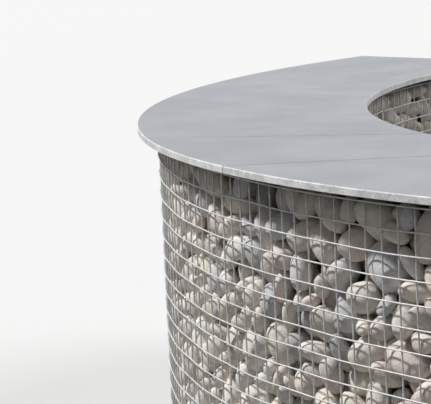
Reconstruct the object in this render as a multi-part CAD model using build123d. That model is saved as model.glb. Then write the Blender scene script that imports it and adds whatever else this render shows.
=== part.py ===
from build123d import *
from math import cos, degrees, radians, sin
import os

# Plan of the curved wall, in millimetres and degrees, seen from the axis that it bends about
bays = 4
bay_angle = 22.5
outer_radius = 2300.0
wall_thickness = 500.0

# Welded mesh baskets: level wires lie on the outside of the upright ones
wire = 4.0
foot_gap = 4.0
fit_gap = 0.3
row_pitch = 150.0
rows = 6
outer_columns = 9
inner_columns = 7
end_columns = 5

# Mortar bed on top of the baskets
bed_thickness = 18.0
bed_inset = 15.0

# Coping slabs, cut from flags to the curve; joint_advance is how far a joint leans off its radius
slab_thickness = 16.0
slab_overhang = 60.0
slab_angle = 15.0
first_slab_angle = 11.0
joint_advance = 9.5
joint_gap = 3.0
arris = 2.0

# Sizes that follow from the ones above
total_angle = bays * bay_angle
start_angle = -total_angle / 2
inner_radius = outer_radius - wall_thickness
mid_radius = (outer_radius + inner_radius) / 2
panel_height = rows * row_pitch + wire
basket_height = foot_gap + panel_height
panel_depth = 2 * wire
slab_bottom = basket_height + bed_thickness
slab_outer = outer_radius + slab_overhang
slab_inner = inner_radius - slab_overhang


def arc_angle(width, radius):
    """Angle that a small width takes up at a radius."""
    return degrees(width / radius)


def plan_point(radius, angle, beyond=0.0):
    """Point of the plan; beyond moves it square to its radius, towards larger angles."""
    turn = radians(angle)
    return Vector(
        radius * sin(turn) + beyond * cos(turn),
        -radius * cos(turn) + beyond * sin(turn),
    )


def plan_face(low_radius, high_radius, low_start, low_end, high_start, high_end):
    """Face between two arcs about the wall's axis, given as corner points, closed by two lines."""
    outer = RadiusArc(high_start, high_end, -high_radius)
    inner = RadiusArc(low_end, low_start, low_radius)
    return make_face([outer, Line(high_end, low_end), inner, Line(low_start, high_start)])


def ring_sector(low_radius, high_radius, start, end, bottom, height):
    """Solid between two radii and two angles, turned about the wall's axis."""
    profile = Rectangle(high_radius - low_radius, height, align=(Align.MIN, Align.MIN))
    placed = Plane.XZ * Pos(low_radius, bottom) * profile
    return Rot(0, 0, start - 90) * revolve(placed, Axis.Z, end - start)


def upright_wire():
    """One upright wire of a basket, square to its radius, over the origin."""
    upright = Box(wire, wire, panel_height, align=(Align.CENTER, Align.CENTER, Align.MIN))
    return Pos(0, 0, foot_gap) * upright


def level_side(radius, first, step, columns):
    """One side of a level wire in plan: flat across each weld and bent halfway between welds."""
    corner_radius = radius / cos(radians(step / 2))
    corners = [plan_point(corner_radius, first + (column + 0.5) * step) for column in range(columns)]
    start = plan_point(radius, first, -wire / 2)
    end = plan_point(radius, first + columns * step, wire / 2)
    return [start] + corners + [end]


def level_wire(low_radius, first, step, columns):
    """One level wire of a curved panel, bent to follow the uprights that it is welded to."""
    low_side = level_side(low_radius, first, step, columns)
    high_side = level_side(low_radius + wire, first, step, columns)
    outline = Polyline(low_side + high_side[::-1], close=True)
    return extrude(make_face(outline), wire)


def curved_panel(bay, columns, upright_low, level_low):
    """Bent mesh panel of one bay, its wires fused where they are welded."""
    middle = upright_low + wire / 2
    edge = arc_angle((wire + fit_gap) / 2, middle)
    first = start_angle + bay * bay_angle + edge
    step = (bay_angle - 2 * edge) / columns
    level = level_wire(level_low, first, step, columns)
    uprights = [
        Rot(0, 0, first + column * step) * Pos(0, -middle) * upright_wire()
        for column in range(columns + 1)
    ]
    levels = [Pos(0, 0, foot_gap + row * row_pitch) * level for row in range(rows + 1)]
    return Part() + uprights + levels


def outer_panel(bay):
    """Mesh on the round outside face."""
    upright_low = outer_radius + fit_gap
    return curved_panel(bay, outer_columns, upright_low, upright_low + wire)


def inner_panel(bay):
    """Mesh on the hollow inside face."""
    upright_low = inner_radius - fit_gap - wire
    return curved_panel(bay, inner_columns, upright_low, upright_low - wire)


def end_panel(side):
    """Flat mesh panel that closes one end of the wall, from face to face."""
    step = (wall_thickness - wire) / end_columns
    first = inner_radius + wire / 2
    level = Box(wall_thickness, wire, wire, align=(Align.MIN, Align.MIN, Align.MIN))
    uprights = [
        Pos(first + column * step, fit_gap + wire / 2) * upright_wire()
        for column in range(end_columns + 1)
    ]
    levels = [
        Pos(inner_radius, fit_gap + wire, foot_gap + row * row_pitch) * level
        for row in range(rows + 1)
    ]
    panel = Part() + uprights + levels
    turned = Rot(0, 0, total_angle / 2 - 90) * panel
    if side < 0:
        return mirror(turned, Plane.YZ)
    return turned


def stone_fill(bay):
    """Cobbles packed in one bay, as the block that they fill."""
    bay_start = start_angle + bay * bay_angle
    return ring_sector(inner_radius, outer_radius, bay_start, bay_start + bay_angle, 0, basket_height)


def mortar_bed(bay):
    """Levelling bed of one bay, kept back from both faces."""
    bay_start = start_angle + bay * bay_angle
    low = inner_radius + bed_inset
    high = outer_radius - bed_inset
    return ring_sector(low, high, bay_start, bay_start + bay_angle, basket_height, bed_thickness)


def joint_angles():
    """Outer-edge angles of the joints that reach from edge to edge of the coping."""
    angles = []
    angle = start_angle + first_slab_angle
    while angle + joint_advance < total_angle / 2 - slab_angle / 4:
        angles.append(angle)
        angle += slab_angle
    return angles


def joint_side(angle, side):
    """Inner and outer corner of the slab that lies on one side of a joint."""
    low = plan_point(slab_inner, angle + joint_advance)
    high = plan_point(slab_outer, angle)
    along = (high - low).normalized()
    square = Vector(-along.Y, along.X)
    half_gap = square * (side * joint_gap / 2)
    return (low + half_gap).normalized() * slab_inner, (high + half_gap).normalized() * slab_outer


def wall_end(side):
    """Inner and outer corner of the coping where it stops flush with an end panel."""
    face = fit_gap + panel_depth
    angle = side * total_angle / 2
    low = plan_point(slab_inner, angle + side * arc_angle(face, slab_inner))
    high = plan_point(slab_outer, angle + side * arc_angle(face, slab_outer))
    return low, high


def coping_slabs():
    """Slabs of the coping from one end of the wall to the other."""
    joints = joint_angles()
    starts = [wall_end(-1)] + [joint_side(angle, 1) for angle in joints]
    ends = [joint_side(angle, -1) for angle in joints] + [wall_end(1)]
    slabs = []
    for start, end in zip(starts, ends):
        outline = plan_face(slab_inner, slab_outer, start[0], end[0], start[1], end[1])
        slab = extrude(Pos(0, 0, slab_bottom) * outline, slab_thickness, dir=(0, 0, 1))
        top_edges = slab.faces().sort_by(Axis.Z)[-1].edges()
        slabs.append(chamfer(top_edges, arris))
    return slabs


def named_pieces():
    """Every piece of the wall, placed about the axis that it bends about."""
    pieces = {}
    for bay in range(bays):
        number = bay + 1
        pieces[f"outer_mesh_{number}"] = outer_panel(bay)
        pieces[f"inner_mesh_{number}"] = inner_panel(bay)
        pieces[f"stone_fill_{number}"] = stone_fill(bay)
        pieces[f"mortar_bed_{number}"] = mortar_bed(bay)
    pieces["left_end_mesh"] = end_panel(-1)
    pieces["right_end_mesh"] = end_panel(1)
    for number, slab in enumerate(coping_slabs(), start=1):
        pieces[f"coping_slab_{number}"] = slab
    return pieces


# The origin is on the ground under the middle of the wall, so the axis lies behind it
os.makedirs("parts", exist_ok=True)
for name, piece in named_pieces().items():
    export_step(Pos(0, mid_radius) * piece, f"parts/{name}.step")
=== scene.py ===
# %% [markdown]
# # A curved gabion wall
# A gabion wall is a row of wire baskets, packed with stone and capped with slabs.
# The solids loaded here fix every size and place: four bays of basket, a bed and a coping.
# Blender then does what solids are poor at: thousands of cobbles, the fine mesh, and surfaces
# that look like stone, zinc and sawn slab.

# %% Load the solids
import bpy
import bmesh
import math
import numpy as np
from mathutils import Matrix, Vector, kdtree


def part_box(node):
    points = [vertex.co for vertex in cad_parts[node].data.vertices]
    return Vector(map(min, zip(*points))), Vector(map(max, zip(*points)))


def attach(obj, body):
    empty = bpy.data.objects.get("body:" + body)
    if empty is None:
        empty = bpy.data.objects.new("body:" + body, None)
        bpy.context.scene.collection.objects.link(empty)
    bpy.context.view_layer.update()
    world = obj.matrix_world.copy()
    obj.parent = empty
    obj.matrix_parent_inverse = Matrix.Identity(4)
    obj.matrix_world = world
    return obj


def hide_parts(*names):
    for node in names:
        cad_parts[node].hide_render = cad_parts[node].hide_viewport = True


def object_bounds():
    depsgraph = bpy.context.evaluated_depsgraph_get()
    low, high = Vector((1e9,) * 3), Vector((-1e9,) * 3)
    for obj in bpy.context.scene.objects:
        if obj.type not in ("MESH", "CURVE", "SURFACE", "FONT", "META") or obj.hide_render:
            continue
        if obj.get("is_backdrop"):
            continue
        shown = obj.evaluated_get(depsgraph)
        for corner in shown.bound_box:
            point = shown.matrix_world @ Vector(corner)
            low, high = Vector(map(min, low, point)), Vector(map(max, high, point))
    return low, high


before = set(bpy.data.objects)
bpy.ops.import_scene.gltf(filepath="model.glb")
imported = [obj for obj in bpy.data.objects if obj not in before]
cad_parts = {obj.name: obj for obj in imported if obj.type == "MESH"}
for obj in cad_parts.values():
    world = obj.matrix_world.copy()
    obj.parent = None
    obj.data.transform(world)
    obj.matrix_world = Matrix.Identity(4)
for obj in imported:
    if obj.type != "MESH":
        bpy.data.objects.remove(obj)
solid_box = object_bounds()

solid_sizes = [high - low for low, high in zip(*solid_box)]
print(len(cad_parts), "solids,", " by ".join(f"{size:.3f}" for size in solid_sizes), "m")

# %% [markdown]
# ## The plan of the wall
# Everything is set out from the upright axis that the wall bends about. That axis isn't a solid, so
# its place could be typed in, but then it would drift from the solids when they change. The boxes
# of the stone blocks give it instead: a block at the wall's middle reaches half the thickness in
# front of the origin, and the last block reaches as far sideways as the outer face does at half the
# wall's angle. Only the angle of one bay is typed in again.

# %% Work out the plan
bay_angle = math.radians(22.5)
bays = sum(name.startswith("stone_fill_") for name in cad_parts)
half_angle = bays * bay_angle / 2
wall_thickness = -2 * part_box(f"stone_fill_{bays // 2}")[0].y
outer_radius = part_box(f"stone_fill_{bays}")[1].x / math.sin(half_angle)
inner_radius = outer_radius - wall_thickness
axis_y = outer_radius - wall_thickness / 2
basket_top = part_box("stone_fill_1")[1].z
coping_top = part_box("coping_slab_1")[1].z
print(f"{bays} bays, faces at {inner_radius:.3f} and {outer_radius:.3f} m from the axis")
print(f"baskets {basket_top:.3f} m high, coping top at {coping_top:.3f} m")

# %% [markdown]
# ## Packing the cobbles
# Real cobbles are tipped into the basket and settle against the mesh. A rigid-body simulation could
# do that, but with thousands of stones it is slow. Here each stone is an egg shape with three
# different half-widths. Stones that overlap push each other apart a little, again and again, while
# the mesh, the ground and a hidden core keep them in a layer about two stones deep. After a few
# hundred rounds they sit as tightly as tipped stone does. First comes their number: the space in
# the layer, times the share of it that packed stone fills, over the size of a mean stone.

# %% Sizes and number of the cobbles
cobble_half_length = 0.046
cobble_length_spread = 0.25
half_length_limits = (0.025, 0.066)
middle_shares = (0.52, 0.86)
shortest_shares = (0.68, 0.95)
layer_depth = 0.12
packing_share = 0.56
sample_size = 4000
dice = np.random.default_rng(seed=20)


def cobble_half_widths(count):
    """Half-widths of the stones, longest first."""
    longest = cobble_half_length * np.exp(dice.normal(0, cobble_length_spread, count))
    longest = np.clip(longest, *half_length_limits)
    middle = longest * dice.uniform(*middle_shares, count)
    shortest = middle * dice.uniform(*shortest_shares, count)
    return np.stack([longest, middle, shortest], axis=1)


def layer_volume():
    """Space between the faces and the hidden core."""
    whole = (outer_radius**2 - inner_radius**2) * half_angle
    core_low = inner_radius + layer_depth
    core_high = outer_radius - layer_depth
    core_half_angle = half_angle - layer_depth / axis_y
    core = (core_high**2 - core_low**2) * core_half_angle
    return (whole - core) * basket_top


mean_cobble = np.prod(cobble_half_widths(sample_size), axis=1).mean() * 4 / 3 * math.pi
cobble_count = int(layer_volume() * packing_share / mean_cobble)
print(f"{cobble_count} cobbles of about {mean_cobble * 1e6:.0f} cubic centimetres")

# %% [markdown]
# ## How deep a stone lies in the wall
# Four upright faces hold the stones in: the round outside, the hollow inside and the two flat ends.
# The packing has to know how deep a stone lies behind each of them, and which way the face looks
# there. Testing against the solids' own faces would be slow, and these shapes are simple enough for
# a formula. Until the stones are packed, their places are counted from the wall's axis, which keeps
# the formula short.

# %% Depths behind the four faces
def face_depths(place):
    """Depth of each place behind the outer, inner, left end and right end face, with the normals."""
    radius = np.hypot(place[:, 0], place[:, 1])
    angle = np.arctan2(place[:, 0], -place[:, 1])
    outward = np.stack([np.sin(angle), -np.cos(angle), np.zeros_like(angle)], axis=1)
    depths = [outer_radius - radius, radius - inner_radius]
    normals = [outward, -outward]
    for side in (-1, 1):
        end_normal = np.array([side * math.cos(half_angle), math.sin(half_angle), 0.0])
        depths.append(-place @ end_normal)
        normals.append(np.broadcast_to(end_normal, place.shape))
    return np.array(depths), np.array(normals)


middle_depths = face_depths(np.array([[0, -axis_y, 0]]))[0][:, 0]
print("the wall's middle is", ", ".join(f"{depth:.2f}" for depth in middle_depths), "m behind its faces")

# %% [markdown]
# ## Scattering the cobbles through the layer
# The stones start anywhere in the layer, one through another if it so falls. Places are drawn over
# the whole wall and kept where they lie near enough to a face, which is simpler than a formula for
# the layer itself. A flat stone comes to rest with its flattest side to the mesh, so each one is
# turned that way, with enough random tilt that no two lie alike.

# %% Scatter the cobbles
head_room = 0.02
tilt_spread = 0.7


def scattered(count):
    """Random places in the layer, about the axis of the wall."""
    found = np.empty((0, 3))
    tries = 4 * count
    while len(found) < count:
        radius = np.sqrt(dice.uniform(inner_radius**2, outer_radius**2, tries))
        angle = dice.uniform(-half_angle, half_angle, tries)
        height = dice.uniform(head_room, basket_top - head_room, tries)
        place = np.stack([radius * np.sin(angle), -radius * np.cos(angle), height], axis=1)
        near = face_depths(place)[0].min(axis=0) < layer_depth
        found = np.concatenate([found, place[near]])
    return found[:count]


def lying_turns(place):
    """Turns that lay each stone's flattest side towards the nearest face, give or take."""
    depths, normals = face_depths(place)
    count = len(place)
    facing = normals[depths.argmin(axis=0), np.arange(count)]
    facing = facing + dice.normal(0, tilt_spread, (count, 3))
    facing /= np.linalg.norm(facing, axis=1, keepdims=True)
    along = np.cross(facing, dice.normal(0, 1, (count, 3)))
    along /= np.linalg.norm(along, axis=1, keepdims=True)
    return np.stack([along, np.cross(facing, along), facing], axis=2)


half_widths = cobble_half_widths(cobble_count)
places = scattered(cobble_count)
turns = lying_turns(places)
print(f"half-widths from {half_widths.min() * 1000:.0f} to {half_widths.max() * 1000:.0f} mm")

# %% [markdown]
# ## Telling which cobbles overlap
# Where two eggs touch has no short formula. A stone's skin, measured along the line between the two
# middles, comes out too near, and its furthest point in that direction too far. Midway between them
# is close enough, and takes only a few sums for all pairs at once. Testing every stone against
# every other would be wasteful, so a tree of their places first finds the pairs that lie near.

# %% Reach of a cobble, and pairs that lie near
def reach(index, direction):
    """How far a stone reaches towards another: midway between its skin and its furthest point."""
    local = np.einsum("nij,ni->nj", turns[index], direction)
    skin = 1 / np.linalg.norm(local / half_widths[index], axis=1)
    furthest = np.linalg.norm(local * half_widths[index], axis=1)
    return (skin + furthest) / 2


def extent(direction):
    """How far each stone's outermost point lies along a direction."""
    local = np.einsum("nij,ni->nj", turns, direction) * half_widths
    return np.linalg.norm(local, axis=1)


def near_pairs():
    """Pairs of stones that may touch."""
    tree = kdtree.KDTree(len(places))
    for number, place in enumerate(places):
        tree.insert(place, number)
    tree.balance()
    span = 2 * half_widths[:, 0].max()
    pairs = [(number, other) for number, place in enumerate(places)
             for _, other, _ in tree.find_range(place, span) if other > number]
    return np.array(pairs)


print(f"{len(near_pairs())} pairs lie near enough to touch before the cobbles settle")

# %% [markdown]
# ## Pushing overlapping cobbles apart
# Two stones overlap by as much as their reaches together exceed the distance between their middles.
# Clearing all of it at once would make the whole heap jump about, since most stones are pushed
# from several sides, so each push clears only a share. A tiny length is added to every distance, so
# that two stones at the very same place don't divide by nought.

# %% Overlaps, and a push that lessens them
push_share = 0.7
tiny = 1e-9


def overlaps_of(pairs):
    """Direction from the first to the second stone of each pair, and how much they overlap."""
    first, second = pairs.T
    between = places[second] - places[first]
    distance = np.linalg.norm(between, axis=1, keepdims=True) + tiny
    between /= distance
    return between, reach(first, between) + reach(second, between) - distance[:, 0]


def push_apart(pairs):
    """Move every overlapping pair apart by a share of the overlap."""
    between, overlap = overlaps_of(pairs)
    shift = between * (np.maximum(overlap, 0) * push_share / 2)[:, None]
    first, second = pairs.T
    np.add.at(places, first, -shift)
    np.add.at(places, second, shift)
    return overlap


first_overlaps = overlaps_of(near_pairs())[1]
first_overlaps = first_overlaps[first_overlaps > 0]
print(f"{len(first_overlaps)} of them overlap, on average by {first_overlaps.mean() * 1000:.0f} mm")

# %% [markdown]
# ## Letting the cobbles settle
# Each round presses all stones a little towards the nearest face, as the weight behind them does,
# pushes apart those that overlap, and brings back those that stick out of the basket or sink into
# the core. The press fades out, so that the last rounds only clear what still overlaps. The pairs
# change slowly, and are looked up again only now and then.

# %% Settle the cobbles
rounds = 260
rounds_between_lookups = 15
press = 0.0008
pull_share = 0.5


def hold_in_basket():
    """Keep the stones inside the mesh, off the ground and out of the core."""
    depths, normals = face_depths(places)
    nearest = depths.argmin(axis=0)
    for face in range(len(depths)):
        out = np.maximum(extent(normals[face]) - depths[face], 0)
        places[:] = places - normals[face] * out[:, None]
    number = np.arange(len(places))
    too_deep = np.maximum(depths[nearest, number] - layer_depth, 0) * pull_share
    places[:] = places + normals[nearest, number] * too_deep[:, None]
    upright = extent(np.broadcast_to([0.0, 0.0, 1.0], places.shape))
    places[:, 2] = np.clip(places[:, 2], upright, basket_top - upright)


for count in range(rounds):
    if count % rounds_between_lookups == 0:
        pairs = near_pairs()
    depths, normals = face_depths(places)
    nearest = depths.argmin(axis=0)
    places += normals[nearest, np.arange(cobble_count)] * press * (1 - count / rounds)
    overlaps = push_apart(pairs)
    hold_in_basket()
deep = overlaps[overlaps > 0]
print(f"settled: {len(pairs)} near pairs, overlaps average {deep.mean() * 1000:.1f} mm")

# %% [markdown]
# ## Shaping the cobbles
# A river cobble is a worn egg: smooth, a little lopsided, often with one flatter side. A few stones
# could be sculpted and copied, but the eye soon finds the copies. Here a subdivided icosahedron
# gives evenly spread corners, and pushing each corner in or out by a few slow waves over the egg
# makes every stone different without any sharp detail.

# %% Worn egg shapes
boxy_limits = (1.9, 2.5)
waves = ((0.5, 0.07), (0.9, 0.05), (1.6, 0.025), (2.8, 0.01))
waves_of_each_pace = 2
mean_swell = 0.965
fine_levels = 3
coarse_levels = 2


def ball(levels):
    """Corners and triangles of a unit ball."""
    shape = bmesh.new()
    bmesh.ops.create_icosphere(shape, subdivisions=levels, radius=1)
    corners = np.array([corner.co for corner in shape.verts])
    faces = np.array([[corner.index for corner in face.verts] for face in shape.faces])
    shape.free()
    return corners, faces


def worn_shapes(index, corners):
    """Corners of the chosen stones, before they are moved to their places."""
    count = len(index)
    boxy = dice.uniform(*boxy_limits, (count, 1))
    swell = (np.abs(corners.T)[None] ** boxy[:, :, None]).sum(axis=1) ** (-1 / boxy)
    for pace, depth in waves:
        for _ in range(waves_of_each_pace):
            axis = dice.normal(0, 1, (count, 3))
            axis /= np.linalg.norm(axis, axis=1, keepdims=True)
            phase = dice.uniform(0, 2 * math.pi, (count, 1))
            swell += depth * np.cos(pace * math.pi * (axis @ corners.T) + phase)
    swell *= mean_swell / swell.mean(axis=1, keepdims=True)
    local = corners[None] * swell[:, :, None] * half_widths[index][:, None, :]
    return np.einsum("nij,nkj->nki", turns[index], local)


fine_triangles, coarse_triangles = [len(ball(levels)[1]) for levels in (fine_levels, coarse_levels)]
print(f"a fine cobble has {fine_triangles} triangles, a coarse one {coarse_triangles}")

# %% [markdown]
# ## Bringing the cobbles against the mesh
# The settling knows only eggs, and a worn stone is a little smaller or larger than its egg here and
# there. Stones that nearly touch a face are slid along its normal until they do, because a real
# basket is full to its mesh. Those well behind the faces show only through gaps, so they are told
# apart here and get a coarser mesh.

# %% Set the cobbles against the mesh
touch_reach = 0.012
front_gap = 0.05


def set_on_mesh(index, shapes):
    """Places of the chosen stones once those near a face just touch it and none sticks out."""
    depths, normals = face_depths(places[index])
    nearest = depths.argmin(axis=0)
    number = np.arange(len(index))
    normal = normals[nearest, number]
    tip = np.einsum("nki,ni->nk", shapes, normal).max(axis=1)
    gap = depths[nearest, number] - tip
    slide = np.where(gap < touch_reach, gap, 0)
    settled = places[index] + normal * slide[:, None]
    depths, normals = face_depths(settled)
    for face in range(len(depths)):
        tip = np.einsum("nki,ni->nk", shapes, normals[face]).max(axis=1)
        settled -= normals[face] * np.maximum(tip - depths[face], 0)[:, None]
    lowest = -shapes[:, :, 2].min(axis=1)
    highest = basket_top - shapes[:, :, 2].max(axis=1)
    settled[:, 2] = np.clip(settled[:, 2], lowest, highest)
    return settled


depths, normals = face_depths(places)
skin_gaps = np.min([depths[face] - extent(normals[face]) for face in range(len(depths))], axis=0)
front = skin_gaps < front_gap
print(f"{front.sum()} cobbles can be seen, {(~front).sum()} lie behind them")

# %% [markdown]
# ## Making meshes from arrays
# A wall has too many stones and wires for one operator call each. Working out all the corners with
# numpy and handing them over in one go is fast, and it keeps every piece one clean mesh. A finish
# can read only what its piece carries, so numbers that belong to a stone are stored on its corners.

# %% A mesh from arrays
def mesh_piece(name, corners, faces, smooth=True):
    """One object from an array of corners and a list or array of faces."""
    data = bpy.data.meshes.new(name)
    if isinstance(faces, np.ndarray):
        faces = faces.tolist()
    data.from_pydata(np.asarray(corners).tolist(), [], faces)
    data.polygons.foreach_set("use_smooth", [smooth] * len(data.polygons))
    data.validate()
    data.update()
    piece = bpy.data.objects.new(name, data)
    bpy.context.scene.collection.objects.link(piece)
    return piece


def mark_corners(piece, name, vectors):
    """Store one vector on each corner of a piece."""
    marks = piece.data.attributes.new(name, "FLOAT_VECTOR", "POINT")
    marks.data.foreach_set("vector", vectors.astype(np.float32).ravel())


# %% [markdown]
# ## Numbers for the finish, and a bay for each cobble
# One finish has to make every stone different. Each stone therefore gets three random numbers, and
# a spot far from all others in the space that its mottling is worked out in. Separate materials
# would need one a stone. Which bay a stone belongs to follows from its angle about the axis.

# %% Numbers, spots and bays
spot_spread = 40
tones = dice.uniform(0, 1, (cobble_count, 3))
spots = dice.uniform(-spot_spread, spot_spread, (cobble_count, 3))
stone_angles = np.arctan2(places[:, 0], -places[:, 1])
stone_bays = np.clip(((stone_angles + half_angle) / bay_angle).astype(int), 0, bays - 1)
print("cobbles in each bay:", np.bincount(stone_bays).tolist())

# %% [markdown]
# ## One piece of cobbles for each bay
# A stone's own space is its shape turned back to lie along its own axes and moved to its spot, so
# the mottling turns with the stone. The cobbles of a bay are joined to one piece, because the block
# that it replaces is one bay too, and thousands of single objects would be slow to handle.

# %% Cobbles of each bay
def cobble_arrays(chosen, levels):
    """Corners, triangles, random numbers and own space of the chosen stones, at one fineness."""
    corners, faces = ball(levels)
    shapes = worn_shapes(chosen, corners)
    at = set_on_mesh(chosen, shapes) + [0, axis_y, 0]
    moved = shapes + at[:, None]
    starts = np.arange(len(chosen)) * len(corners)
    numbered = faces[None] + starts[:, None, None]
    tone = np.repeat(tones[chosen], len(corners), axis=0)
    own_space = np.einsum("nij,nki->nkj", turns[chosen], shapes) + spots[chosen][:, None]
    return moved.reshape(-1, 3), numbered.reshape(-1, 3), tone, own_space.reshape(-1, 3)


def cobble_piece(name, index):
    """Mesh of the chosen stones: fine ones in front, then coarse ones behind."""
    fine = cobble_arrays(index[front[index]], fine_levels)
    coarse = cobble_arrays(index[~front[index]], coarse_levels)
    corners, faces, tone, space = [np.concatenate(both) for both in zip(fine, coarse)]
    faces[len(fine[1]):] += len(fine[0])
    piece = mesh_piece(name, corners, faces)
    mark_corners(piece, "tone", tone)
    mark_corners(piece, "stone_space", space)
    return piece


cobble_pieces = []
for bay in range(bays):
    piece = cobble_piece(f"cobbles_{bay + 1}", np.flatnonzero(stone_bays == bay))
    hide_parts(f"stone_fill_{bay + 1}")
    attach(piece, "root")
    cobble_pieces.append(piece)
    print(piece.name, len(piece.data.polygons), "triangles")

# %% [markdown]
# ## The core behind the cobbles
# Between the front stones you look into darkness, with a hint of more stone. Filling the whole wall
# with cobbles would cost triangles that nobody sees. A rough block at the back of the layer closes
# the view through the wall instead. It is a bent grid whose surface is dented, so that the bits of
# it that can be seen don't look like a flat board.

# %% A dented core
core_overlap = 0.02
core_inset = layer_depth - core_overlap
core_foot = 0.01
core_head_gap = 0.005
core_dent = 0.012
core_columns = 90
core_rows = 24
core_steps = 10


def wall_point(radius, angle, height):
    """Place in the wall's frame from polar places about its axis; angles may be arrays."""
    return np.stack(np.broadcast_arrays(
        radius * np.sin(angle), axis_y - radius * np.cos(angle), height), axis=-1)


def dented_block(low, high, end):
    """A bent block between two radii and two angles, with its faces divided and dented."""
    angles = np.linspace(-end, end, core_columns)
    heights = np.linspace(core_foot, basket_top - core_head_gap, core_rows)
    radii = np.linspace(low, high, core_steps)
    around = [(low, angle) for angle in angles]
    around += [(radius, end) for radius in radii[1:-1]]
    around += [(high, angle) for angle in angles[::-1]]
    around += [(radius, -end) for radius in radii[-2:0:-1]]
    loop = np.array(around)
    size = len(loop)
    corners = np.concatenate([
        wall_point(loop[:, 0] + dice.uniform(-core_dent, core_dent, size), loop[:, 1], height)
        for height in heights])
    faces = [[row * size + step, (row + 1) * size + step,
              (row + 1) * size + (step + 1) % size, row * size + (step + 1) % size]
             for row in range(core_rows - 1) for step in range(size)]
    faces.append(list(range(size)))
    faces.append([(core_rows - 1) * size + step for step in reversed(range(size))])
    return corners, faces


core = mesh_piece("stone_core", *dented_block(
    inner_radius + core_inset, outer_radius - core_inset, half_angle - core_inset / axis_y),
    smooth=False)
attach(core, "root")
print(core.name, len(core.data.polygons), "faces")

# %% [markdown]
# ## The welded mesh
# The baskets are made of drawn wire, 4 mm thick, welded every 50 mm each way. The level wires lie
# over the upright ones, on the side away from the stones. The solids have only every second upright
# and every third level wire, to stay light, so the full mesh is made here and replaces them. Where
# its foot is comes from the solids, and the rest follows from the pitch.

# %% Sizes of the mesh
wire_radius = 0.002
mesh_pitch = 0.05
fit_gap = 0.0003
wire_seat = fit_gap + wire_radius
mesh_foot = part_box("outer_mesh_1")[0].z
level_count = round((basket_top - mesh_foot - 2 * wire_radius) / mesh_pitch) + 1
level_heights = mesh_foot + wire_radius + np.arange(level_count) * mesh_pitch
panel_top = level_heights[-1] + wire_radius
print(f"{level_count} level wires a panel, the highest at {level_heights[-1]:.3f} m")

# %% [markdown]
# ## Wires as tubes
# Curves with a round bevel would do for single wires, but a panel has dozens. A wire is a thin tube
# along a path, so one function that sweeps a small ring along an array of points makes them all,
# and another joins them to one panel.

# %% Tubes along paths
wire_sides = 8


def tube(path):
    """Corners and faces of a closed round wire along a path."""
    path = np.asarray(path)
    ahead = np.gradient(path, axis=0)
    ahead /= np.linalg.norm(ahead, axis=1, keepdims=True)
    steep = abs(ahead[0, 2]) >= 0.7
    guide = np.array([1.0, 0, 0]) if steep else np.array([0, 0, 1.0])
    across = np.cross(ahead, guide)
    across /= np.linalg.norm(across, axis=1, keepdims=True)
    above = np.cross(across, ahead)
    turn = (np.arange(wire_sides) * 2 * math.pi / wire_sides)[None, :, None]
    ring = np.cos(turn) * across[:, None] + np.sin(turn) * above[:, None]
    corners = (path[:, None] + ring * wire_radius).reshape(-1, 3)
    faces = [[row * wire_sides + side, row * wire_sides + (side + 1) % wire_sides,
              (row + 1) * wire_sides + (side + 1) % wire_sides, (row + 1) * wire_sides + side]
             for row in range(len(path) - 1) for side in range(wire_sides)]
    faces.append(list(range(wire_sides))[::-1])
    faces.append([(len(path) - 1) * wire_sides + side for side in range(wire_sides)])
    return corners, faces


def joined(parts):
    """Several sets of corners and faces as one."""
    corners = []
    faces = []
    total = 0
    for part_corners, part_faces in parts:
        corners.append(part_corners)
        faces += [[corner + total for corner in face] for face in part_faces]
        total += len(part_corners)
    return np.concatenate(corners), faces


straight_wire = tube([(0, 0, 0), (0, 0, panel_top)])
print(f"a straight wire has {len(straight_wire[1])} faces")

# %% [markdown]
# ## Slack in the panels
# Panels bulge and sag by a millimetre or two where stones lean on them, which is what keeps a real
# basket from looking drawn with a ruler. Noise would do, but two slow waves over the panel are
# enough, and wires that cross share them, so that they still meet at their welds.

# %% A slow wander
slack_size = 0.0012
short_wave_share = 0.6


def slack(angle, height, salt):
    """A wander of a millimetre or two; the salt makes it different for each panel and use."""
    long_wave = np.sin(17 * angle + 5.1 * height + salt)
    short_wave = np.sin(41 * angle - 9.7 * height + 2 * salt)
    return slack_size * (long_wave + short_wave_share * short_wave)


print(f"wires wander by up to {slack_size * (1 + short_wave_share) * 1000:.1f} mm")

# %% [markdown]
# ## Curved panels
# Each bay has one bent panel on the round outside face and one on the hollow inside face. The wires
# of both are the same thing seen from two sides, so one function makes them, told by 1 or -1 which
# way is out. The lowest and the highest level wire don't sag, so every panel keeps its height.

# %% Outer and inner panels
upright_points = 25
lean_share = 0.6


def curved_wires(bay, face, out):
    """Wires of one bent panel: uprights against the stones, level wires over them."""
    upright_at = face + out * wire_seat
    level_at = upright_at + out * 2 * wire_radius
    columns = round(upright_at * bay_angle / mesh_pitch)
    salt = bay + 10 * columns
    edge = (wire_radius + fit_gap / 2) / upright_at
    start = -half_angle + bay * bay_angle + edge
    end = start + bay_angle - 2 * edge
    parts = []
    upright_heights = np.linspace(mesh_foot, panel_top, upright_points)
    for angle in np.linspace(start, end, columns + 1):
        bulge = out * np.abs(slack(angle, upright_heights, salt))
        lean = slack(angle, upright_heights, salt + 2) / upright_at * lean_share
        parts.append(tube(wall_point(upright_at + bulge, angle + lean, upright_heights)))
    tip = wire_radius / level_at
    angles = np.linspace(start - tip, end + tip, 2 * columns + 1)
    for height in level_heights:
        bulge = out * np.abs(slack(angles, height, salt))
        sags = level_heights[0] < height < level_heights[-1]
        sag = slack(angles, height, salt + 1) * sags
        parts.append(tube(wall_point(level_at + bulge, angles, height + sag)))
    return joined(parts)


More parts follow.
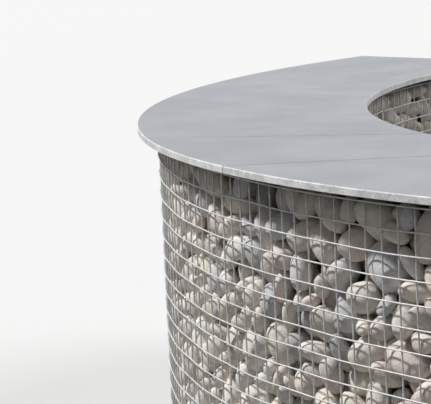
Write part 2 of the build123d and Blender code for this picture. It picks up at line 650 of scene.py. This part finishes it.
wire_pieces = []
for bay in range(bays):
    for side, face, out in (("outer", outer_radius, 1), ("inner", inner_radius, -1)):
        piece = mesh_piece(f"{side}_wires_{bay + 1}", *curved_wires(bay, face, out))
        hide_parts(f"{side}_mesh_{bay + 1}")
        wire_pieces.append(piece)
print(f"{len(wire_pieces)} curved panels")

# %% [markdown]
# ## End panels
# A flat panel closes each end of the wall. It is narrow and held on all sides, so it has no slack,
# and every wire is one straight tube. The function for curved panels could be stretched to make
# these too, but a short one of their own is easier to read.

# %% Flat panels at the ends
end_uprights = round(wall_thickness / mesh_pitch) + 1


def end_wires(side):
    """Wires of the flat panel at one end: -1 for the left, 1 for the right."""
    normal = np.array([side * math.cos(half_angle), math.sin(half_angle), 0])
    along = np.array([side * math.sin(half_angle), -math.cos(half_angle), 0])
    up = np.array([0, 0, 1])
    axis = np.array([0, axis_y, 0])
    parts = []
    for radius in np.linspace(inner_radius + wire_radius, outer_radius - wire_radius, end_uprights):
        line = axis + along * radius + normal * wire_seat
        parts.append(tube([line + up * mesh_foot, line + up * panel_top]))
    for height in level_heights:
        start = axis + along * inner_radius + normal * (wire_seat + 2 * wire_radius) + up * height
        parts.append(tube([start, start + along * wall_thickness]))
    return joined(parts)


for side, name in ((-1, "left"), (1, "right")):
    piece = mesh_piece(f"{name}_end_wires", *end_wires(side))
    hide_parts(f"{name}_end_mesh")
    wire_pieces.append(piece)
for piece in wire_pieces:
    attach(piece, "root")
wire_faces = sum(len(piece.data.polygons) for piece in wire_pieces)
print(f"{len(wire_pieces)} panels in all, {wire_faces} faces")

# %% [markdown]
# ## Writing finishes as sums
# A finish is a web of nodes, and a web is hard to read in code. Here a small class wraps a node's
# socket, and arithmetic on it adds the Math nodes, so a worn edge can be written as
# `edge * (1 - grime)`. Only numbers are added and multiplied this way, because a Math node turns a
# colour grey. Colours and vectors are wrapped too, and go through Mix and Vector Math.

# %% Sockets that can be added and multiplied
class Signal:
    """What one socket of a node gives; arithmetic on it adds Math nodes."""

    def __init__(self, web, socket):
        self.web = web
        self.socket = socket

    def _math(self, operation, *values):
        return self.web.add("ShaderNodeMath", {"operation": operation}, dict(enumerate(values)))

    def __add__(self, other):
        return self._math("ADD", self, other)

    def __sub__(self, other):
        return self._math("SUBTRACT", self, other)

    def __rsub__(self, other):
        return self._math("SUBTRACT", other, self)

    def __mul__(self, other):
        return self._math("MULTIPLY", self, other)

    def __abs__(self):
        return self._math("ABSOLUTE", self)

    __radd__ = __add__
    __rmul__ = __mul__

    def either(self, other):
        """The larger of two signals: where they are masks, what lies in one or the other."""
        return self._math("MAXIMUM", self, other)

    def steps(self, start, end):
        """A smooth rise from 0 at start to 1 at end, which may lie below it."""
        return self.web.add("ShaderNodeMapRange", {"interpolation_type": "SMOOTHSTEP"},
                            {"Value": self, "From Min": start, "From Max": end})

    def twin(self, output):
        """What another output of the same node gives."""
        return Signal(self.web, self.socket.node.outputs[output])


# %% [markdown]
# ## One call for every other node
# All other nodes come from one method, `add`: the kind of node, its settings, and what its sockets
# are fed with. A material and the sky both hold a web of nodes, so what they share is written once.
# Mixing colours and reckoning with vectors come up so often that they have short names of their own.

# %% A web of nodes
class Web:
    """The nodes of a material or of the sky, added one call at a time."""

    def __init__(self, owner):
        owner.use_nodes = True
        self.nodes = owner.node_tree.nodes
        self.links = owner.node_tree.links

    def add(self, kind, settings=None, inputs=None, output=0):
        """A node of a kind, with its settings and then its sockets' values or links."""
        node = self.nodes.new(kind)
        for name, value in (settings or {}).items():
            if name == "stops":
                self._set_stops(node.color_ramp, value)
            else:
                setattr(node, name, value)
        for name, value in (inputs or {}).items():
            self.feed(node.inputs[name], value)
        return Signal(self, node.outputs[output])

    def _set_stops(self, ramp, stops):
        while len(ramp.elements) < len(stops):
            ramp.elements.new(1)
        for element, (place, colour) in zip(ramp.elements, stops):
            element.position = place
            element.color = (*colour, 1)

    def feed(self, socket, value):
        """Link a signal to a socket, or set the socket's own value."""
        if isinstance(value, Signal):
            self.links.new(value.socket, socket)
        else:
            socket.default_value = value

    def blend(self, share, first, second):
        """Two colours mixed by a share of the second."""
        return self.add("ShaderNodeMix", {"data_type": "RGBA"},
                        {0: share, 6: first, 7: second}, output=2)

    def vector(self, operation, *values, output=0):
        """Vector Math on vectors."""
        return self.add("ShaderNodeVectorMath", {"operation": operation},
                        dict(enumerate(values)), output)


# %% [markdown]
# ## What all the finishes share
# Every finish here is one shader fed by soft noise. The noise is fixed to the piece or to the single
# stone, and is worked out in metres, so that a grain has its real size. It could be painted on a
# picture instead, but then each piece would first have to be unwrapped flat. Fine relief is only
# bumped, since it is smaller than any mesh here could carry.

# %% A finish
class Finish(Web):
    """A material with one shader, and the textures that the finishes here are made of."""

    def __init__(self, name):
        self.material = bpy.data.materials.new(name)
        super().__init__(self.material)
        self.shader = self.nodes["Principled BSDF"]

    def set(self, **values):
        """Feed the shader's own sockets; an underscore in a name stands for a space."""
        for name, value in values.items():
            self.feed(self.shader.inputs[name.replace("_", " ")], value)

    def place(self):
        """Coordinates fixed to the piece, in metres."""
        return self.add("ShaderNodeTexCoord", output="Object")

    def noise(self, where, scale, detail=2, roughness=0.5):
        """Soft noise from 0 to 1; the scale is about how many blots it has in a metre."""
        return self.add("ShaderNodeTexNoise", None,
                        {"Vector": where, "Scale": scale, "Detail": detail, "Roughness": roughness})

    def bump(self, height, distance, strength=1.0):
        """Feed the shader's normal from a height, whose 1 is as high as the distance in metres."""
        normal = self.add("ShaderNodeBump", None,
                          {"Height": height, "Distance": distance, "Strength": strength})
        self.feed(self.shader.inputs["Normal"], normal)

    def dress(self, pieces):
        """Give the finish to pieces as their only material, and say how large it came out."""
        for piece in pieces:
            piece.data.materials.clear()
            piece.data.materials.append(self.material)
        print(f"{self.material.name}: {len(self.nodes)} nodes, pieces dressed: {len(pieces)}")


# %% [markdown]
# ## Cobble
# The stones are mixed river cobble: mostly warm pale grey, some buff or pinkish, a few nearly white
# and a few dark. Each kind could be a material, but one ramp gives all kinds and what lies between.
# A stone's first number picks its colour from the ramp, the second says how much of it is bleached,
# and the third whether a pale vein runs through it. All mottling is worked out in the stone's own
# space, so it doesn't run on into its neighbour.

# %% Cobble finish
cobble_colours = [
    (0.00, (0.36, 0.35, 0.35)), (0.06, (0.54, 0.54, 0.55)), (0.12, (0.72, 0.72, 0.74)),
    (0.20, (0.72, 0.66, 0.61)), (0.42, (0.83, 0.76, 0.69)), (0.60, (0.87, 0.81, 0.70)),
    (0.74, (0.85, 0.76, 0.71)), (0.86, (0.80, 0.69, 0.64)), (0.94, (0.87, 0.82, 0.76)),
    (1.00, (0.90, 0.88, 0.85))]
bleached = (0.75, 0.72, 0.68, 1)
vein_colour = (0.72, 0.70, 0.67, 1)
grit_colour = (0.30, 0.28, 0.26, 1)
fleck_colour = (0.16, 0.15, 0.15, 1)


def cobble_finish():
    """Mottled, veined and flecked stone, different for each cobble."""
    stone = Finish("river_cobble")
    own = stone.add("ShaderNodeAttribute", {"attribute_name": "stone_space"}, output="Vector")
    numbers = stone.add("ShaderNodeAttribute", {"attribute_name": "tone"}, output="Vector")
    kind = stone.add("ShaderNodeSeparateXYZ", None, {0: numbers})
    age = kind.twin("Y")
    veined = kind.twin("Z")
    clouds = stone.noise(own, 55, detail=4, roughness=0.6)
    grain = stone.noise(own, 330, detail=3, roughness=0.7)
    pits = stone.noise(own, 120)
    worn_pale = age.steps(0.5, 1.0) * clouds.steps(0.45, 0.3)
    off_centre = abs(stone.noise(own, 22) - 0.5)
    vein = (1 - off_centre.steps(0.006, 0.02)) * veined.steps(0.72, 0.76)
    flecks = stone.noise(own, 190, detail=1).steps(0.60, 0.70)

    colour = stone.add("ShaderNodeValToRGB", {"stops": cobble_colours}, {0: kind})
    dark = stone.blend(0.18, colour, grit_colour)
    colour = stone.blend(clouds.steps(0.38, 0.72), colour, dark)
    pale = stone.blend(0.5, colour, bleached)
    colour = stone.blend(worn_pale, colour, pale)
    colour = stone.blend(vein * 0.6, colour, vein_colour)
    colour = stone.blend(grain.steps(0.3, 0.75) * 0.18, colour, grit_colour)
    colour = stone.blend(flecks * 0.3, colour, fleck_colour)
    stone.set(Base_Color=colour, Roughness=0.92 - clouds * 0.2)
    stone.bump(grain * 0.35 + clouds * 2 + pits * 0.9, distance=0.0012, strength=0.8)
    return stone


cobble_finish().dress(cobble_pieces)

# %% [markdown]
# ## Shadowed rubble
# The core stands for the stones deep in the basket, where little light gets in. Its colour is painted
# shade: nearly black, with coarse dim patches that read as more stone in shadow. The same cobble finish
# would be too pale, because the smooth block catches light that real gaps would swallow.

# %% Core finish
# Painted shade: these are the colours of stone deep in shadow, not of the stone itself.
painted_shade_black = (0.02, 0.019, 0.018, 1)
painted_shade_grey = (0.09, 0.085, 0.08, 1)


def rubble_finish():
    """Painted shade: nearly black, with dim patches of shaded stone and deep relief."""
    rubble = Finish("shadowed_rubble")
    rough = rubble.noise(rubble.place(), 30, detail=4)
    rubble.set(Base_Color=rubble.blend(rough, painted_shade_black, painted_shade_grey), Roughness=1.0)
    rubble.bump(rough, distance=0.02)
    return rubble


rubble_finish().dress([core])

# %% [markdown]
# ## Zinc
# Hot-dipped zinc is a dull pale grey with soft patches, more matt than polished. A fully metallic
# surface would mirror the dark gaps between the stones and turn nearly black, which weathered zinc
# doesn't do. A mostly plain surface with a little metal in it keeps the wires pale from all sides.

# %% Zinc finish
zinc_grey = (0.56, 0.56, 0.55, 1)
zinc_pale = (0.74, 0.74, 0.72, 1)
zinc_dull = (0.38, 0.37, 0.35, 1)


def zinc_finish():
    """Pale patches, with a little dull grey over them."""
    zinc = Finish("galvanised_zinc")
    where = zinc.place()
    patches = zinc.noise(where, 90, detail=3, roughness=0.6)
    dull = zinc.noise(where, 9).steps(0.5, 0.8)
    colour = zinc.blend(patches.steps(0.35, 0.65), zinc_grey, zinc_pale)
    colour = zinc.blend(dull * 0.4, colour, zinc_dull)
    zinc.set(Base_Color=colour, Metallic=0.2, Roughness=patches * 0.2 + 0.42)
    zinc.bump(zinc.noise(where, 500), distance=0.0002)
    return zinc


zinc_finish().dress(wire_pieces)

# %% [markdown]
# ## Mortar
# The bed under the coping is a sandy grey mortar, seen as a dark line in the coping's shadow. It
# could be modelled again with ragged edges, but hardly anything of it shows. So its solids stay and
# only get a finish: fine sand, and darker stretches where it holds damp.

# %% Mortar finish
sand_dark = (0.22, 0.21, 0.19, 1)
sand_pale = (0.44, 0.42, 0.39, 1)
damp_colour = (0.15, 0.14, 0.13, 1)


def mortar_finish():
    """Sand grains, with damp stretches."""
    mortar = Finish("bed_mortar")
    where = mortar.place()
    sand = mortar.noise(where, 420, detail=3, roughness=0.7)
    damp = mortar.noise(where, 11, detail=3)
    colour = mortar.blend(sand, sand_dark, sand_pale)
    colour = mortar.blend(damp.steps(0.5, 0.75) * 0.4, colour, damp_colour)
    mortar.set(Base_Color=colour, Roughness=0.95)
    mortar.bump(sand + damp * 2, distance=0.003)
    return mortar


mortar_finish().dress([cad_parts[f"mortar_bed_{bay + 1}"] for bay in range(bays)])

# %% [markdown]
# ## Where the slabs were sawn
# The coping's slabs are smooth and slightly blue on top, but paler and rougher on the faces that
# the saw left open to view: the curved edges, and the flat ends of the wall. The joints between
# slabs stay dark. Materials for single faces would need the solids' faces picked by hand. Here a
# curved edge is told by its direction: it faces along its spoke, the level line that runs out from
# the wall's axis. The flat ends don't, so they are told by where they lie, past the last stones.

# %% Find the sawn faces
end_margin = (0.0055, 0.0061)


def sawn_faces(slab, where):
    """1 on the coping's curved edges and flat ends, 0 on its top and in its joints."""
    facing = slab.add("ShaderNodeNewGeometry", output="Normal")
    from_axis = slab.vector("SUBTRACT", where, (0, axis_y, 0))
    spoke = slab.vector("NORMALIZE", slab.vector("MULTIPLY", from_axis, (1, 1, 0)))
    along_spoke = slab.vector("DOT_PRODUCT", facing, spoke, output="Value")
    curved_edge = abs(along_spoke).steps(0.45, 0.62)
    sideways = slab.add("ShaderNodeSeparateXYZ", None, {0: where})
    forward = sideways.twin("Y") - axis_y
    past_end = abs(sideways) * math.cos(half_angle) + forward * math.sin(half_angle)
    upward = slab.add("ShaderNodeSeparateXYZ", None, {0: facing}, output="Z")
    level = abs(upward).steps(0.75, 0.90)
    return curved_edge.either(past_end.steps(*end_margin) * (1 - level))


print(f"a flat end is told by lying over {end_margin[1] * 1000:.1f} mm past the stones")

# %% [markdown]
# ## Sawn slab
# The stone is a fine even grey. A single colour would look like painted card on so wide a top, so
# soft clouds, thin smears left by rain and a fine grain break it up. The sawn faces have a coarser
# mix of pale and grey flecks.

# %% Slab finish
top_dark = (0.270, 0.280, 0.304, 1)
top_pale = (0.330, 0.340, 0.364, 1)
top_smear = (0.25, 0.26, 0.28, 1)
top_grain = (0.19, 0.19, 0.20, 1)
sawn_grey = (0.64, 0.65, 0.64, 1)
sawn_pale = (0.88, 0.88, 0.87, 1)
sawn_fleck = (0.40, 0.40, 0.39, 1)


def slab_finish():
    """Smooth grey stone, paler and rougher where it was sawn."""
    slab = Finish("sawn_slab")
    where = slab.place()
    cut = sawn_faces(slab, where)
    clouds = slab.noise(where, 5, detail=4, roughness=0.55)
    grain = slab.noise(where, 650, roughness=0.7)
    flecks = slab.noise(where, 170, detail=3, roughness=0.65)
    smears = slab.noise(where, 22, detail=5, roughness=0.65)
    top = slab.blend(clouds.steps(0.3, 0.7), top_dark, top_pale)
    top = slab.blend(smears.steps(0.5, 0.8) * 0.35, top, top_smear)
    top = slab.blend(grain.steps(0.4, 0.8) * 0.25, top, top_grain)
    side = slab.blend(smears.steps(0.35, 0.65), sawn_grey, sawn_pale)
    side = slab.blend(flecks.steps(0.50, 0.68) * 0.55, side, sawn_fleck)
    slab.set(Base_Color=slab.blend(cut, top, side), Roughness=cut * 0.25 + clouds * 0.15 + 0.5)
    slab.bump(grain * 0.5 + smears * (cut * 2 + 0.3), distance=0.0012, strength=0.7)
    return slab


slab_finish().dress([node for name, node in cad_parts.items() if name.startswith("coping_slab_")])

# %% [markdown]
# ## The floor
# The wall stands on a plain floor, wide enough that its rim is far off in every view. A white floor
# would throw light up into the gaps between the stones and wash out their shadows. So the floor is
# pale only as the camera sees it, and darker to the light that bounces.

# %% Floor
floor_reach = 60
floor_in_bounces = (0.15, 0.15, 0.14, 1)
floor_as_seen = (0.70, 0.70, 0.69, 1)

floor_corners = [(-floor_reach, -floor_reach, 0), (floor_reach, -floor_reach, 0),
                 (floor_reach, floor_reach, 0), (-floor_reach, floor_reach, 0)]
floor = mesh_piece("floor", floor_corners, [(0, 1, 2, 3)])
floor_finish = Finish("pale_floor")
seen_directly = floor_finish.add("ShaderNodeLightPath", output="Is Camera Ray")
floor_colour = floor_finish.blend(seen_directly, floor_in_bounces, floor_as_seen)
floor_finish.set(Base_Color=floor_colour, Roughness=0.9)
floor_finish.dress([floor])
floor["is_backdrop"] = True

# %% [markdown]
# ## The sky
# A pale sky fills the shadows from all sides. The background should be paler than that weak light
# makes it, and more light would bleach the stone. The sky therefore has two colours: a plain pale
# one where it is seen, mirrored or looked at through something, and a weak glow for all the rest.

# %% Sky
glow_colour = (0.93, 0.96, 1.0, 1)
glow_strength = 0.16
backdrop_colour = (0.86, 0.87, 0.88, 1)

sky = bpy.data.worlds.new("pale_sky")
bpy.context.scene.world = sky
sky_web = Web(sky)
sky_web.nodes.remove(sky_web.nodes["Background"])
glow = sky_web.add("ShaderNodeBackground", None, {"Color": glow_colour, "Strength": glow_strength})
backdrop = sky_web.add("ShaderNodeBackground", None, {"Color": backdrop_colour, "Strength": 1.0})
camera_ray = sky_web.add("ShaderNodeLightPath", output="Is Camera Ray")
seen = camera_ray.either(camera_ray.twin("Is Glossy Ray"))
seen = seen.either(camera_ray.twin("Is Transmission Ray"))
mixed = sky_web.add("ShaderNodeMixShader", None, {0: seen, 1: glow, 2: backdrop})
sky_web.feed(sky_web.nodes["World Output"].inputs["Surface"], mixed)
print(f"{sky.name}: {len(sky_web.nodes)} nodes, glows at {glow_strength}")

# %% [markdown]
# ## The lamps
# One lamp stands high on the outside of the wall and models the stones. A wider and weaker one
# behind keeps the hollow side from going flat. Both are distant lamps, because a near one would
# light one end of the wall more than the other. The wider a distant lamp looks, the softer its
# shadows fall.

# %% Lamps
lamp_distance = 20


def soft_sun(name, around, height, softness, strength):
    """A distant lamp, with its place around the wall, its height and its width in degrees."""
    light = bpy.data.lights.new(name, "SUN")
    light.angle = math.radians(softness)
    light.energy = strength
    lamp = bpy.data.objects.new(name, light)
    turn = math.radians(around)
    lift = math.radians(height)
    towards = Vector((math.sin(turn) * math.cos(lift), -math.cos(turn) * math.cos(lift),
                      math.sin(lift)))
    lamp.rotation_euler = towards.to_track_quat("Z", "Y").to_euler()
    lamp.location = towards * lamp_distance
    bpy.context.scene.collection.objects.link(lamp)
    print(f"{name} lamp at {around} degrees around and {height} high, strength {strength}")


soft_sun("key", around=-12, height=53, softness=6, strength=3.5)
soft_sun("back_fill", around=190, height=34, softness=40, strength=1.3)

# %% [markdown]
# ## The camera
# The photograph looks along the outside of the wall from about eye height, with a long lens. The
# camera could be set by eye, but the mesh is a ready-made ruler: its cells are 50 mm square, so
# fitting a camera to the wires gave the distance from the wall's axis, the height over the coping,
# the three turns in radians, and the focal length in widths of a pixel.

# %% Camera
picture_width = 431
focal_pixels = 2152.3
camera_distance = 6.1296
camera_over_coping = 0.6359
camera_around = math.radians(70.544)
camera_yaw = -0.36037
camera_pitch = 0.14970
camera_roll = -0.04752

lens = bpy.data.cameras.new("camera")
lens.sensor_width = 36
lens.lens = focal_pixels * lens.sensor_width / picture_width
lens.clip_start = 0.1
lens.clip_end = 200
camera = bpy.data.objects.new("camera", lens)
bpy.context.scene.collection.objects.link(camera)
bpy.context.scene.camera = camera
camera_place = wall_point(camera_distance, camera_around, coping_top + camera_over_coping)
camera_turn = (Matrix.Rotation(camera_around - camera_yaw, 4, "Z")
               @ Matrix.Rotation(math.pi / 2 - camera_pitch, 4, "X")
               @ Matrix.Rotation(camera_roll, 4, "Z"))
camera.matrix_world = Matrix.Translation(Vector(camera_place)) @ camera_turn
print(f"camera at {[round(float(value), 2) for value in camera_place]}, lens {lens.lens:.0f} mm")

# %% [markdown]
# ## Checking the size
# Dressing the wall must not change its size, so the box of what shows is set against the box of the
# solids, and the largest difference is printed. The plain view setting keeps colours as they were
# chosen.

# %% Check the size and finish
bpy.context.scene.view_settings.view_transform = "Standard"
dressed_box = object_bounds()
growth = max(abs(dressed - solid) for dressed_corner, solid_corner in zip(dressed_box, solid_box)
             for dressed, solid in zip(dressed_corner, solid_corner))
print(f"the dressed wall's box is within {growth * 1000:.1f} mm of the solids'")
